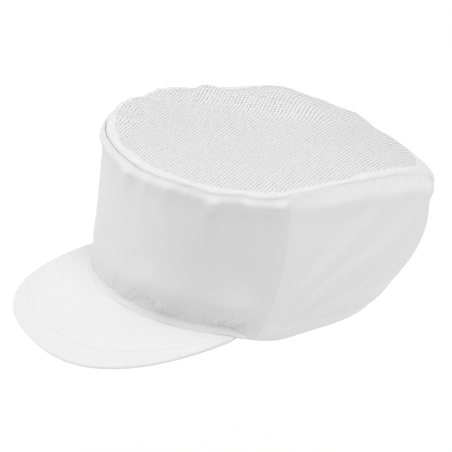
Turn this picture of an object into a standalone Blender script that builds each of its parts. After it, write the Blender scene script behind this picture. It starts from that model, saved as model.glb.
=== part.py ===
"""Bump cap: a peaked fabric cap with an open mesh crown, worn over a hard impact shell.

The cap stands on a table. +Z is up, the visor points to -Y and +X is the wearer's left.
Lengths below are in millimetres; the scene is in metres.
"""

import math

import bmesh
import bpy
import numpy as np
from mathutils import Matrix, Vector

MM = 0.001
SHARP = 40  # edges sharper than this many degrees stay crisp
SHIFT = (0.0, 7.32, 0.0)  # brings the middle of the whole cap's box onto the origin

# Rim: the oval lower edge of the cap
RIM_LONG, RIM_WIDE, RIM_POWER = 102.0, 88.8, 2.09  # half length, half width, ovalness
RIM_TILT = 0.0747  # the rim climbs towards the front
RIM_ARCH, RIM_ARCH_END = 3.3, 72.0  # extra lift over the visor, and where it ends (degrees)
RIM_DIP, RIM_DIP_AT, RIM_DIP_WIDE = 2.7, 80.0, 13.0  # the corner below each side seam

# Crown seam: the oval where walls and mesh meet
CROWN_MID, CROWN_FRONT, CROWN_BACK, CROWN_WIDE, CROWN_POWER = -10.0, 78.7, 155.1, 91.5, 2.15
CROWN_TOP, CROWN_SLOPE = 110.6, 0.0632
CROWN_SAG, CROWN_SAG_FROM = 0.0031, 40.0  # the back slumps
CROWN_PUFF = 4.0
SLUMP_AT, SLUMP_WIDE, SLUMP_UP = (-52.0, 86.0), 44.0, 9.0  # the mesh bulges at the back right

# Cloth walls
CLOTH, MESH_CLOTH, TAPE = 1.0, 0.8, 0.6
GAP = 0.3
BALLOON, BALLOON_FROM = 12.0, 95.0  # the back bellies out (mm), from this angle round
SEAM_LOW, SEAM_HIGH = 71.0, 85.5  # angle of the side seam at the rim and at the crown

# Visor
VISOR_LONG, VISOR_END, VISOR_FAN = 56.6, 64.8, 0.353
VISOR_POWER, VISOR_ROUND = 3.24, 1.316
VISOR_EDGE_Z, VISOR_EDGE_ARCH, VISOR_LIFT = -8.3, 10.0, 1.4
COVER, BOARD = 0.4, 0.8

# Impact shell insert
SHELL_MID, SHELL_LONG, SHELL_WIDE, SHELL_POWER = -2.75, 94.25, 83.8, 2.1
SHELL_HIGH, SHELL_RISE, SHELL_ROUND = 96.0, 2.2, 2.4
SHELL_EDGE, SHELL_EAR = 7.0, 8.0  # lower edge above the rim, and extra over the ears
SHELL_WALL = 2.2
HOOK, LOOP = 1.6, 1.5  # thickness of the hook-and-loop patches
BROW_FOAM, SIDE_FOAM, CROWN_FOAM = 4.0, 5.0, 8.0
CROWN_PAD = (26.0, 30.0, 2.6)  # half width, half length, squareness
SLOT = (7.0, 34.0)  # vent slot width and length
SLOTS_AT = [(-38, -34), (38, -34), (-38, 26), (38, 26), (0, -62), (0, 56)]

# Rear adjuster
ARC_MID_Y = 24.7  # the strap follows a circle about this point
STRAP_R, STRAP_THICK, STRAP_Z, STRAP_END = 71.2, 1.0, (4.0, 22.0), 38.0
SLIDER_WALL, SLIDER_CLEAR, SLIDER_HALF = 1.2, 0.3, 7.0  # half width in degrees

COLOURS = {
    "twill": ((0.86, 0.87, 0.88), 0.9),
    "mesh": ((0.84, 0.85, 0.86), 0.85),
    "visor_cloth": ((0.87, 0.88, 0.89), 0.85),
    "tape": ((0.80, 0.81, 0.82), 0.9),
    "elastic": ((0.78, 0.78, 0.78), 0.8),
    "board": ((0.62, 0.63, 0.65), 0.5),
    "shell": ((0.80, 0.82, 0.84), 0.35),
    "foam": ((0.10, 0.11, 0.12), 0.95),
    "hook_loop": ((0.70, 0.71, 0.72), 0.9),
    "slider": ((0.75, 0.76, 0.78), 0.4),
}


def reset():
    for obj in list(bpy.data.objects):
        bpy.data.objects.remove(obj, do_unlink=True)
    for group in list(bpy.data.collections):
        bpy.data.collections.remove(group)
    found = []
    for name, hidden in (("bump_cap", False), ("cutters", True)):
        group = bpy.data.collections.new(name)
        bpy.context.scene.collection.children.link(group)
        group.hide_render = hidden
        found.append(group)
    return found


def material(slot):
    made = bpy.data.materials.get(slot) or bpy.data.materials.new(slot)
    made.use_nodes = True
    colour, rough = COLOURS[slot]
    shader = made.node_tree.nodes["Principled BSDF"]
    shader.inputs["Base Color"].default_value = (*colour, 1)
    shader.inputs["Roughness"].default_value = rough
    made.diffuse_color = (*colour, 1)
    return made


def power(value, n):
    return math.copysign(abs(value) ** (2 / n), value)


def smooth(low, high, value):
    t = min(1.0, max(0.0, (value - low) / (high - low)))
    return t * t * (3 - 2 * t)


# Shapes. Angles run from the visor (0) through the wearer's left (90) to the back (180).


def rim_plane(y):
    return RIM_TILT * (RIM_LONG - y)


def rim(angle, inset=0.0):
    c, s = math.cos(math.radians(angle)), math.sin(math.radians(angle))
    x = (RIM_WIDE - inset) * power(s, RIM_POWER)
    y = -(RIM_LONG - inset) * power(c, RIM_POWER)
    away = abs((angle + 180) % 360 - 180)
    arch = RIM_ARCH * (0.5 + 0.5 * math.cos(math.pi * min(1.0, away / RIM_ARCH_END)))
    dip = RIM_DIP * math.exp(-(((away - RIM_DIP_AT) / RIM_DIP_WIDE) ** 2))
    return np.array([x, y, rim_plane(y) + arch - dip])


def seam_height(y):
    return CROWN_TOP - CROWN_SLOPE * y - CROWN_SAG * max(0.0, y - CROWN_SAG_FROM) ** 2


def crown(angle, share=1.0):
    """A point of the crown: share 1 lies on the seam and 0 in the middle."""
    c, s = math.cos(math.radians(angle)), math.sin(math.radians(angle))
    reach = CROWN_FRONT if c > 0 else CROWN_BACK
    x = share * CROWN_WIDE * power(s, CROWN_POWER)
    y = CROWN_MID + 22 * (1 - share) - share * reach * power(c, CROWN_POWER)
    puff = CROWN_PUFF * (1 - share**4)
    far = math.hypot(x - SLUMP_AT[0], y - SLUMP_AT[1]) / SLUMP_WIDE
    puff += SLUMP_UP * math.exp(-far * far) * (1 - share**6)
    return np.array([x, y, seam_height(y) + puff])


def wall(angle, up):
    """A point of the cap's outer wall: up 0 lies on the rim and 1 on the crown seam."""
    low, high = rim(angle), crown(angle)
    away = abs((angle + 180) % 360 - 180)
    out = BALLOON * smooth(BALLOON_FROM, 165, away) * math.sin(math.pi * up**0.72)
    out += 2.0 * math.sin(math.pi * min(1.0, up)) * smooth(60, 90, away)
    way = np.array([low[0] / RIM_WIDE**2, low[1] / RIM_LONG**2, 0])
    return low + (high - low) * up + way / np.linalg.norm(way) * out


def shell(angle, up):
    """A point of the impact shell's outside: up 0 lies on its lower edge and 1 at its top."""
    c, s = math.cos(math.radians(angle)), math.sin(math.radians(angle))
    edge = SHELL_EDGE + SHELL_EAR * s**4
    h = edge + (SHELL_HIGH - edge) * math.sin(up * math.pi / 2)
    size = max(0.0, 1 - (h / SHELL_HIGH) ** SHELL_RISE) ** (1 / SHELL_ROUND)
    x = size * SHELL_WIDE * power(s, SHELL_POWER)
    y = SHELL_MID - size * SHELL_LONG * power(c, SHELL_POWER)
    return np.array([x, y, rim_plane(y) + h])


def visor(along, out):
    """A point of the visor's middle layer: along -1 to 1 across it, out 0 at the seam to 1."""
    angle = along * VISOR_END
    base = rim(angle)
    side = np.array([base[0] / RIM_WIDE**2, base[1] / RIM_LONG**2, 0])
    base = base + side / np.linalg.norm(side) * 1.0 + [0, 0, VISOR_LIFT]
    depth = (1 - abs(along) ** VISOR_POWER) ** (1 / VISOR_ROUND)
    way = np.array([math.sin(math.radians(angle)) * VISOR_FAN, -1, 0])
    point = base + way / np.linalg.norm(way) * VISOR_LONG * depth * out
    edge_z = VISOR_EDGE_Z + VISOR_EDGE_ARCH * (1 - along**2) + 0.0388 * abs(point[0]) * 0.6
    edge_z = base[2] * (1 - depth) + max(edge_z, 1.6) * depth
    point[2] = base[2] + (edge_z - base[2]) * (0.75 * out + 0.25 * out * out)
    return point


def lifted(shape, a, b, off):
    """shape(a, b) moved off along the surface's outward normal."""
    da, db = 0.5, 0.004
    b0, b1 = max(0.0, b - db), min(1.0, b + db)
    across = shape(a + da, b) - shape(a - da, b)
    up = shape(a, b1) - shape(a, b0)
    normal = np.cross(across, up)
    return shape(a, b) + normal / np.linalg.norm(normal) * off


# Building


def new_object(name, bm, slot, group):
    mesh = bpy.data.meshes.new(name)
    bm.to_mesh(mesh)
    bm.free()
    mesh.materials.append(material(slot))
    mesh.shade_smooth()
    mesh.set_sharp_from_angle(angle=math.radians(SHARP))
    obj = bpy.data.objects.new(name, mesh)
    group.objects.link(obj)
    return obj


def sheet(name, rows, thick, slot, group, ring=False, middle=None):
    """A skin over rows of points, bottom row first, given its thickness on the inner side."""
    bm = bmesh.new()
    grid = [[bm.verts.new((np.array(p) + SHIFT) * MM) for p in row] for row in rows]
    count = len(grid[0])
    for low, high in zip(grid, grid[1:]):
        for i in range(count if ring else count - 1):
            j = (i + 1) % count
            bm.faces.new((low[i], low[j], high[j], high[i]))
    if middle is not None:
        top = bm.verts.new((np.array(middle) + SHIFT) * MM)
        for i in range(count):
            bm.faces.new((grid[-1][i], grid[-1][(i + 1) % count], top))
    obj = new_object(name, bm, slot, group)
    solid = obj.modifiers.new("thickness", "SOLIDIFY")
    solid.thickness = thick * MM
    solid.offset = -1
    solid.use_even_offset = True
    return obj


def spread(low, high, count):
    return [float(v) for v in np.linspace(low, high, count)]


def patch(name, shape, angles, ups, off, thick, slot, group):
    rows = [[lifted(shape, a, u, off) for a in angles] for u in ups]
    return sheet(name, rows, thick, slot, group)


def arc_band(name, inner, outer, heights, ends, slot, group):
    """A band standing on an arc of the strap's circle, symmetric about the back."""
    rows = []
    for z in heights:
        turns = [math.radians(a) for a in spread(90 + ends, 90 - ends, 1 + round(ends / 2))]
        turns = turns[::-1]
        rows.append([np.array([outer * math.cos(t), ARC_MID_Y + outer * math.sin(t), z]) for t in turns])
    return sheet(name, rows, outer - inner, slot, group)


def on_axis(name, place, pieces):
    """Hangs the pieces of a moving body on an empty that stands on its joint's axis."""
    empty = bpy.data.objects.new(name, None)
    empty.location = (Vector(place) + Vector(SHIFT)) * MM
    pieces[0].users_collection[0].objects.link(empty)
    for piece in pieces:
        piece.data.transform(Matrix.Translation(-empty.location))
        piece.parent = empty


def side_seam(up):
    return SEAM_LOW + (SEAM_HIGH - SEAM_LOW) * (1 - (1 - up) ** 2)


def cap_walls(parts):
    ups = [0, 0.07, 0.16, 0.28, 0.42, 0.58, 0.74, 0.88, 0.985]
    clear = 0.12  # degrees either side of a seam
    rows = [[wall(v * (side_seam(u) - clear), u) for v in spread(-1, 1, 35)] for u in ups]
    sheet("front_panel", rows, CLOTH, "twill", parts)
    for name, sign in (("back_panel_left", 1), ("back_panel_right", -1)):
        rows = []
        for u in ups:
            start = side_seam(u) + clear
            angles = [start + v * (180 - clear - start) for v in spread(0, 1, 21)]
            angles = angles if sign > 0 else [-a for a in reversed(angles)]
            rows.append([wall(a, u) for a in angles])
        sheet(name, rows, CLOTH, "twill", parts)


def cap_crown(parts):
    around = spread(-180, 175, 72)
    lift = np.array([0, 0, 0.6])
    rows = [[crown(a, r) + lift for a in around] for r in (0.99, 0.94, 0.84, 0.68, 0.46, 0.22)]
    middle = crown(0, 0) + lift
    sheet("crown_mesh", rows, MESH_CLOTH, "mesh", parts, ring=True, middle=middle)
    drop = np.array([0, 0, 0.6 - MESH_CLOTH - 3.5 * GAP])
    rows = [[crown(a, r) + drop for a in around] for r in (0.975, 0.93)]
    sheet("crown_seam_allowance", rows, TAPE, "tape", parts, ring=True)


def cap_edges(parts):
    inner = -(CLOTH + GAP)
    angles = spread(-69.5, 69.5, 29)
    patch("front_hem_facing", wall, angles, [0.005, 0.07, 0.14], inner, TAPE, "tape", parts)
    angles = spread(-64, 64, 29)
    patch("front_trim_strip", wall, angles, [0.036, 0.06, 0.084], GAP + TAPE, TAPE, "tape", parts)
    back = spread(72, 288, 49)
    for name, inset, low, high, thick, slot in (
        ("back_elastic", CLOTH + 0.4, 2.5, 10.5, 1.0, "elastic"),
        ("back_casing", CLOTH + 1.8, 0.4, 12.0, TAPE, "tape"),
    ):
        rows = [[rim(a, inset) + [0, 0, z] for a in back] for z in (low, high)]
        sheet(name, rows, thick, slot, parts)
    for name, sign in (("side_seam_tape_left", 1), ("side_seam_tape_right", -1)):
        rows = []
        for u in (0.17, 0.3, 0.45, 0.6, 0.75, 0.88, 0.95):
            mid = sign * side_seam(u)
            rows.append([lifted(wall, mid + d, u, inner) for d in (-2.6, 0, 2.6)])
        sheet(name, rows, TAPE, "tape", parts)
    patch(
        "back_seam_tape",
        wall,
        [178, 180, 182],
        [0.2, 0.3, 0.42, 0.56, 0.7, 0.84, 0.94],
        inner,
        TAPE,
        "tape",
        parts,
    )


def cap_visor(parts):
    for name, thick, top, reach, wide, slot in (
        ("visor_top_cover", COVER, BOARD / 2 + GAP + COVER, 1.0, 0.985, "visor_cloth"),
        ("visor_board", BOARD, BOARD / 2, 0.96, 0.95, "board"),
        ("visor_bottom_cover", COVER, -BOARD / 2 - GAP, 1.0, 0.985, "visor_cloth"),
    ):
        along = [wide * math.sin(v * math.pi / 2) for v in spread(-1, 1, 27)]
        rows = [[visor(a, out) + [0, 0, top] for a in along] for out in spread(0, reach, 6)]
        sheet(name, rows[::-1], thick, slot, parts)


def insert(parts, cutters):
    around = spread(-180, 172.5, 48)
    rows = [[shell(a, u) for a in around] for u in (0, 0.12, 0.26, 0.4, 0.54, 0.68, 0.82, 0.93)]
    body = sheet("impact_shell", rows, SHELL_WALL, "shell", parts, True, shell(0, 1))
    for i, (x, y) in enumerate(SLOTS_AT):
        bpy.ops.mesh.primitive_cube_add(
            size=1, location=Vector((x, y + SHIFT[1], 90)) * MM, scale=[v * MM for v in (*SLOT, 90)]
        )
        cutter = bpy.context.object
        cutter.name = f"slot_cutter_{i}"
        bpy.ops.object.transform_apply(location=False, rotation=False, scale=True)
        bevel = cutter.modifiers.new("round", "BEVEL")
        bevel.width, bevel.segments = 3.4 * MM, 3
        cutter.display_type = "WIRE"
        cutter.hide_render = True
        for group in list(cutter.users_collection):
            group.objects.unlink(cutter)
        cutters.objects.link(cutter)
    cut = body.modifiers.new("slots", "BOOLEAN")
    cut.operation, cut.solver = "DIFFERENCE", "EXACT"
    cut.operand_type, cut.collection = "COLLECTION", cutters

    moving = [body]
    under = -(SHELL_WALL + 2 * GAP)
    for name, low, high, steps, ups, thick in (
        ("brow_pad", -62, 62, 17, (0.01, 0.12, 0.24), BROW_FOAM),
        ("side_pad_left", 72, 118, 9, (0.04, 0.16, 0.3), SIDE_FOAM),
        ("side_pad_right", -118, -72, 9, (0.04, 0.16, 0.3), SIDE_FOAM),
        ("rear_pad", 140, 220, 13, (0.01, 0.12, 0.24), BROW_FOAM),
    ):
        angles = spread(low, high, steps)
        moving.append(patch(name, shell, angles, ups, under, thick, "foam", parts))
    rows = []
    for share in (1.0, 0.6, 0.3):
        rows.append([])
        for a in spread(-180, 165, 24):
            x = CROWN_PAD[0] * share * power(math.sin(math.radians(a)), CROWN_PAD[2])
            y = SHELL_MID - CROWN_PAD[1] * share * power(math.cos(math.radians(a)), CROWN_PAD[2])
            size = math.hypot(x / SHELL_WIDE, (y - SHELL_MID) / SHELL_LONG)
            h = SHELL_HIGH * (1 - size**SHELL_ROUND) ** (1 / SHELL_RISE)
            rows[-1].append(np.array([x, y, rim_plane(y) + h - SHELL_WALL - 1.0]))
    top = np.array([0, SHELL_MID, rim_plane(SHELL_MID) + SHELL_HIGH - SHELL_WALL - 1.0])
    moving.append(sheet("crown_pad", rows, CROWN_FOAM, "foam", parts, True, top))

    for name, sign in (("left", 1), ("right", -1)):
        angles = spread(46, 62, 5) if sign > 0 else spread(-62, -46, 5)
        ups = (0.12, 0.18, 0.25)
        hook = patch(f"hook_patch_{name}", shell, angles, ups, GAP + HOOK, HOOK, "hook_loop", parts)
        moving.append(hook)
        ups = (0.17, 0.25, 0.33)
        patch(f"loop_patch_{name}", wall, angles, ups, -(CLOTH + GAP), LOOP, "hook_loop", parts)
    on_axis("insert_axis", (0, 0, 0), moving)


def adjuster(parts, cutters):
    low, high = STRAP_R - STRAP_THICK / 2, STRAP_R + STRAP_THICK / 2
    bottom, top = STRAP_Z
    arc_band("adjuster_strap", low, high, STRAP_Z, STRAP_END, "elastic", parts)
    half = SLIDER_HALF
    out = SLIDER_CLEAR + SLIDER_WALL
    heights = (bottom - out, top + out)
    slider = arc_band("adjuster_slider", low - out, high + out, heights, half, "slider", parts)
    out = SLIDER_CLEAR
    heights = (bottom - out, top + out)
    hole = arc_band("slider_cutter", low - out, high + out, heights, half + 3, "slider", cutters)
    hole.hide_render = True
    hole.display_type = "WIRE"
    cut = slider.modifiers.new("strap_way", "BOOLEAN")
    cut.operation, cut.solver, cut.object = "DIFFERENCE", "EXACT", hole
    on_axis("slider_axis", (0, ARC_MID_Y, (bottom + top) / 2), [slider, hole])


def main():
    parts, cutters = reset()
    cap_walls(parts)
    cap_crown(parts)
    cap_edges(parts)
    cap_visor(parts)
    slots = bpy.data.collections.new("slot_cutters")
    slots.hide_render = True
    cutters.children.link(slots)
    insert(parts, slots)
    adjuster(parts, cutters)


main()
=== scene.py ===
"""Looks for the bump cap: fabric walls, open mesh crown, visor, and the padded impact shell inside.

Lengths in the shape functions are in millimetres, with the rim's centre at the origin;
placed() moves them onto the frame and into metres. The visor points to -Y.
"""

import math

import bpy
import numpy as np
from mathutils import Matrix, Vector
from mathutils.noise import noise


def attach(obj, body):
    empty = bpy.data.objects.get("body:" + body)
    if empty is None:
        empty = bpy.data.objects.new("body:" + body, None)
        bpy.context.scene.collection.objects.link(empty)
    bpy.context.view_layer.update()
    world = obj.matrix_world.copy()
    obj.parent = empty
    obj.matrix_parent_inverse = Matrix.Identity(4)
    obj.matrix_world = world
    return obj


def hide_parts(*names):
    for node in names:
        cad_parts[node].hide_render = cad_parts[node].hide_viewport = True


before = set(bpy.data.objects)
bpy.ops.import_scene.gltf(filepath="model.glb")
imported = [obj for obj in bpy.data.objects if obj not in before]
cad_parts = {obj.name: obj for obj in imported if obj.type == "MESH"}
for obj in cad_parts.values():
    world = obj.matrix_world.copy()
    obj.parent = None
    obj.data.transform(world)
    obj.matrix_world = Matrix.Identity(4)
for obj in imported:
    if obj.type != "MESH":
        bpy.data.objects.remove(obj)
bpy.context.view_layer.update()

MM = 0.001
SHIFT = np.array([0.0, 7.32, 0.0])  # the rim's centre in the frame

# Rim, crown seam and walls: the sizes of the frame's own panels, with a deeper dip at the side
RIM_LONG, RIM_WIDE, RIM_POWER = 102.0, 88.8, 2.09
RIM_TILT = 0.0747
RIM_ARCH, RIM_ARCH_END = 3.3, 72.0
RIM_DIP, RIM_DIP_AT, RIM_DIP_WIDE = 4.2, 78.0, 12.0
CROWN_MID, CROWN_FRONT, CROWN_BACK, CROWN_WIDE, CROWN_POWER = -10.0, 78.7, 155.1, 91.5, 2.15
CROWN_SHIFT = 22  # how far the top's middle lies behind the seam's
CROWN_TOP, CROWN_SLOPE = 110.6, 0.0632
CROWN_SAG, CROWN_SAG_FROM = 0.0031, 40.0
CLOTH, MESH_CLOTH, TAPE, TRIM, GAP = 1.0, 0.8, 0.5, 0.3, 0.3
BALLOON, BALLOON_FROM = 12.0, 95.0
SIDE_BOW, SIDE_BOW_FROM = 2.0, 60.0
SEAM_LOW, SEAM_HIGH = 71.0, 85.5  # the side seam's angle at the rim and at the crown
CALM_FROM = 165.0  # the seam's small waves die away between this angle and the centre back

# Rises and dips of the crown seam: angle, height, half width in degrees
SEAM_RISES = ((30, 1.0, 9), (51, -0.8, 4), (62, 1.8, 6), (78, -1.0, 6), (100, 1.2, 9))
# Tufts where a gather meets the seam: angle, height, half width in degrees
SEAM_TUFTS = ((5, 2.4, 2.8), (17, 1.0, 2.6), (28, 1.4, 2.8), (50, 2.8, 3.0), (66, 1.4, 3.4), (81, 1.8, 3.0))
# Gathers above the trim strip: angle, depth, half width in degrees
GATHERS = ((30, 0.75, 14), (8, 0.3, 7), (61, 0.85, 8))
# Drapes of the back, fanning out from the side seam's foot: slope, half width in degrees, height
DRAPES = ((12, 4.0, 1.9), (24, 4.5, 2.6), (37, 5.0, 2.4), (54, 6.0, 1.6))

# The slack mesh: its bow, the dent in its middle, and swells (x, y, height, half width, stretch along y)
MESH_BOW = 3.0
DENT_X, DENT_Y, DENT_DEEP, DENT_WIDE, DENT_STRETCH = 22, 30, 2.4, 44, 1.15
SWELLS = ((-62, 72, 7.0, 19, 1.2), (-38, 119, 6.0, 25, 1.0), (-2, 131, 5.0, 19, 1.0))
PUFF_HIGH, PUFF_RISE, PUFF_WIDE = 5.0, 3.0, 22.0  # the puffed edge on the far side
# The fold that runs over the far half of the mesh, and the hollow behind it
FOLD_LINE = [(-84, 6), (-76, 14), (-65, 26), (-52, 36), (-40, 46), (-32, 56), (-25, 72), (-12, 88)]
FOLD_HIGH, FOLD_BEHIND, FOLD_BEFORE = 7.6, 3.2, 10.0
HOLLOW_DEEP, HOLLOW_AT, HOLLOW_WIDE = 6.0, 9.0, 6.0

# The strip along the crown seam, and its rounded lobe at the back
STRIP_WIDE, STRIP_INSET, STRIP_LIFT, STRIP_TUCK = 7.0, 0.95, 0.75, 2.3
LOBE_AT, LOBE_WIDE, LOBE_OUT, LOBE_ROLL, LOBE_DROP = 160, 20, 3.8, 3.2, 6.5

# The trim strip over the visor seam: half length in degrees, place and height as shares of the wall
TRIM_END, TRIM_LOW, TRIM_TALL, TRIM_SLOPE = 67, 0.02, 0.046, 2.1

# Visor
VISOR_LONG, VISOR_END, VISOR_FAN = 56.6, 64.8, 0.353
VISOR_POWER, VISOR_ROUND = 3.24, 1.316
VISOR_EDGE_Z, VISOR_EDGE_ARCH, VISOR_LIFT = -8.3, 10.0, 1.4
VISOR_LEAST_Z = 1.6
COVER, BOARD = 0.4, 0.8
VISOR_NEAR = 0.045  # the wearer's left half is bent a little longer
VISOR_STITCH = 0.78  # the stitch row's place, from the seam 0 to the edge 1

# Insert
SHELL_MID, SHELL_LONG, SHELL_WIDE, SHELL_POWER = -2.75, 94.25, 83.8, 2.1
SHELL_HIGH, SHELL_RISE, SHELL_ROUND = 96.0, 2.2, 2.4
SHELL_EDGE, SHELL_EAR, SHELL_WALL = 7.0, 8.0, 2.2
SLOT_WIDE, SLOT_LONG = 7.0, 34.0
SLOTS_AT = ((-38, -34), (38, -34), (-38, 26), (38, 26), (0, -62), (0, 56))
PAD_EDGE = 0.9  # a pad's thickness at its sewn edge
HOOK_THICK, LOOP_THICK = 1.6, 1.5

# Rear strap: an arc of webbing across the back
STRAP_RADIUS, STRAP_MID, STRAP_END, STRAP_LOW, STRAP_HIGH, STRAP_THICK = 71.7, 24.7, 38.0, 4, 22, 1.0

# Weave sizes
TWILL_PITCH, TWILL_ANGLE = 1.45, -62.0
MESH_ROW, MESH_CELL, MESH_TURN = 2.4, 2.0, 34.6

# Colours
WHITE = (0.78, 0.78, 0.78)
# The front panel's twill greys are weave and painted shade together: both sit below the back panels' greys,
# so the front panel reads darker than the back beyond the side seam.
FRONT_WEAVE_LIGHT_WITH_PAINTED_SHADE, FRONT_WEAVE_DARK_WITH_PAINTED_SHADE = (0.765, 0.765, 0.765), (0.69, 0.69, 0.69)
BACK_DARK = (0.765, 0.765, 0.765)
# MESH_LIGHT is the yarn's own white; the darker grey is painted shade for the holes and the dips between
# rows.
MESH_LIGHT, MESH_PAINTED_SHADE = (0.84, 0.84, 0.84), (0.5, 0.5, 0.5)
COVER_WHITE = (0.79, 0.79, 0.79)
TAPE_WHITE = (0.77, 0.77, 0.77)
ELASTIC_WHITE = (0.80, 0.80, 0.80)
THREAD_WHITE = (0.84, 0.84, 0.84)
SHELL_WHITE = (0.80, 0.81, 0.82)
SLIDER_WHITE = (0.75, 0.76, 0.78)
BOARD_GREY = (0.62, 0.63, 0.65)
FOAM_GREY, FOAM_DARK = (0.10, 0.105, 0.11), (0.05, 0.052, 0.056)
PILE_GREY = (0.72, 0.72, 0.72)

# Studio, in metres and watts: each light's name, place, target, size and power
LIGHTS = (
    ("left_softbox", (-1.3, -1.3, 0.2), (0, 0, 0.08), 0.5, 7),
    ("right_softbox", (0.9, 1.4, 1.1), (0, 0, 0.05), 1.0, 4.5),
    ("top_softbox", (0.35, -0.2, 1.8), (0, 0, 0.05), 1.0, 17),
)
WORLD_STRENGTH, FLOOR_GREY, FLOOR_GLOW = 0.58, 0.12, 0.92
FLOOR_Z, FLOOR_SIZE = -0.16, 8  # the floor lies low, so that the insert can be seen when it is drawn out

# Camera: lens and shift, then the way back to it, its upward way, and what it looks at
LENS, SENSOR, LENS_SHIFT = 173.57, 36, (-0.0198, 0.0014)
CAMERA_BACK, CAMERA_UP = (0.76225, -0.46702, 0.44819), (-0.40141, 0.20212, 0.89332)
CAMERA_TARGET, CAMERA_FAR = (0, 5.46, 46.01), 1.5


# Shapes. Angles run from the visor (0) through the wearer's left (90) to the back (180).


def power(value, n):
    """A cosine or sine raised for a superellipse of power n, keeping its sign."""
    return np.sign(value) * np.abs(value) ** (2 / n)


def smooth(low, high, value):
    """0 below low and 1 above high, with a soft step between."""
    t = np.clip((value - low) / (high - low), 0, 1)
    return t * t * (3 - 2 * t)


def bump(value, middle, wide):
    """A bell curve: 1 at the middle, falling to 0.37 at its half width."""
    return np.exp(-(((value - middle) / wide) ** 2))


def turned(angle):
    """How far an angle is from the visor's middle, 0 to 180."""
    return np.abs((angle + 180) % 360 - 180)


def wobble(values, seed, scale):
    """Smooth seeded noise along one running length, about -1 to 1."""
    flat = [noise(Vector((float(v) / scale, seed * 7.3, 0.5))) for v in np.ravel(values)]
    return np.reshape(flat, np.shape(values)) * 1.6


def points(x, y, z):
    return np.stack(np.broadcast_arrays(x, y, z), axis=-1)


def rim_plane(y):
    return RIM_TILT * (RIM_LONG - y)


def rim(angle, inset=0.0):
    """The cap's lower edge: arched over the visor, with a dip beside it."""
    c, s = np.cos(np.radians(angle)), np.sin(np.radians(angle))
    x = (RIM_WIDE - inset) * power(s, RIM_POWER)
    y = -(RIM_LONG - inset) * power(c, RIM_POWER)
    away = turned(angle)
    arch = RIM_ARCH * (0.5 + 0.5 * np.cos(np.pi * np.minimum(1, away / RIM_ARCH_END)))
    return points(x, y, rim_plane(y) + arch - RIM_DIP * bump(away, RIM_DIP_AT, RIM_DIP_WIDE))


def seam_height(y):
    return CROWN_TOP - CROWN_SLOPE * y - CROWN_SAG * np.maximum(0, y - CROWN_SAG_FROM) ** 2


def seam_wave(angle):
    """The crown seam's small rises and dips (mm), where the gathers pull it."""
    run = np.radians(angle) * CROWN_WIDE
    calm = 1 - smooth(CALM_FROM, 180, turned(angle))
    wave_z = (0.9 * wobble(run, 21, 26) + 0.5 * wobble(run, 22, 9)) * calm
    for at, rise, wide in SEAM_RISES:
        wave_z = wave_z + rise * bump(angle, at, wide)
    return wave_z


def crown_plan(angle, share):
    """The crown seen from above: share 1 lies on the seam and 0 at the top's middle."""
    c, s = np.cos(np.radians(angle)), np.sin(np.radians(angle))
    reach = np.where(c > 0, CROWN_FRONT, CROWN_BACK)
    x = share * CROWN_WIDE * power(s, CROWN_POWER)
    y = CROWN_MID + CROWN_SHIFT * (1 - share) - share * reach * power(c, CROWN_POWER)
    return x, y


def ridge_line(x, y, line):
    """Signed distance to a bent line (mm, positive on its left), and how far along it lies, 0 to 1."""
    line = np.array(line, float)
    best = np.full(np.shape(x), 1e9)
    side, along = np.zeros(np.shape(x)), np.zeros(np.shape(x))
    steps = np.linalg.norm(np.diff(line, axis=0), axis=1)
    starts = np.concatenate([[0], np.cumsum(steps)])
    for i, step in enumerate(steps):
        way = (line[i + 1] - line[i]) / step
        dx, dy = x - line[i, 0], y - line[i, 1]
        t = np.clip(dx * way[0] + dy * way[1], 0, step)
        far = np.hypot(dx - way[0] * t, dy - way[1] * t)
        near = far < best
        best = np.where(near, far, best)
        side = np.where(near, np.sign(way[0] * dy - way[1] * dx) * far, side)
        along = np.where(near, (starts[i] + t) / starts[-1], along)
    return side, along


def crown_lift(x, y, share):
    """How far the slack mesh stands above the seam's own surface."""
    inner = 1 - share**24
    side, along = ridge_line(x, y, FOLD_LINE)
    ends = smooth(0, 0.12, along) * (1 - smooth(0.8, 1, along))
    lift = MESH_BOW * (1 - share**4)
    lift = lift - DENT_DEEP * bump(np.hypot((x - DENT_X) / DENT_STRETCH, y - DENT_Y), 0, DENT_WIDE)
    ridge = np.where(side > 0, bump(side, 0, FOLD_BEHIND), bump(side, 0, FOLD_BEFORE))
    lift = lift + FOLD_HIGH * ends * ridge
    lift = lift - HOLLOW_DEEP * ends * bump(side, HOLLOW_AT, HOLLOW_WIDE)
    for at_x, at_y, high, wide, stretch in SWELLS:
        lift = lift + high * inner * bump(np.hypot(x - at_x, (y - at_y) / stretch), 0, wide)
    return lift


def crown(angle, share):
    """The crown's surface: share 1 lies on the seam and 0 at the top's middle."""
    x, y = crown_plan(angle, share)
    inboard = (1 - share) * np.hypot(*crown_plan(angle, np.ones(np.shape(share))))
    run = np.radians(angle) * CROWN_WIDE
    far = smooth(-25, -62, x) * (1 - 0.9 * smooth(8, 30, y))
    far = far + 0.5 * smooth(-20, -45, x) * smooth(85, 110, y)
    crumple = 1 + 0.45 * wobble(run, 14, 13) + 0.3 * wobble(run, 15, 6)
    climb = 1 - np.exp(-np.maximum(0, inboard) / PUFF_RISE)
    edge_puff = PUFF_HIGH * far * crumple * climb * bump(inboard, 0, PUFF_WIDE)
    lift = crown_lift(x, y, share) + edge_puff + seam_wave(angle) * np.clip(share, 0, 1) ** 12
    return points(x, y, seam_height(y) + lift)


def wall_way(low):
    """The level way outward from the rim, at a point of it."""
    way = low * [1 / RIM_WIDE**2, 1 / RIM_LONG**2, 0]
    return way / np.linalg.norm(way, axis=-1, keepdims=True)


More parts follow.
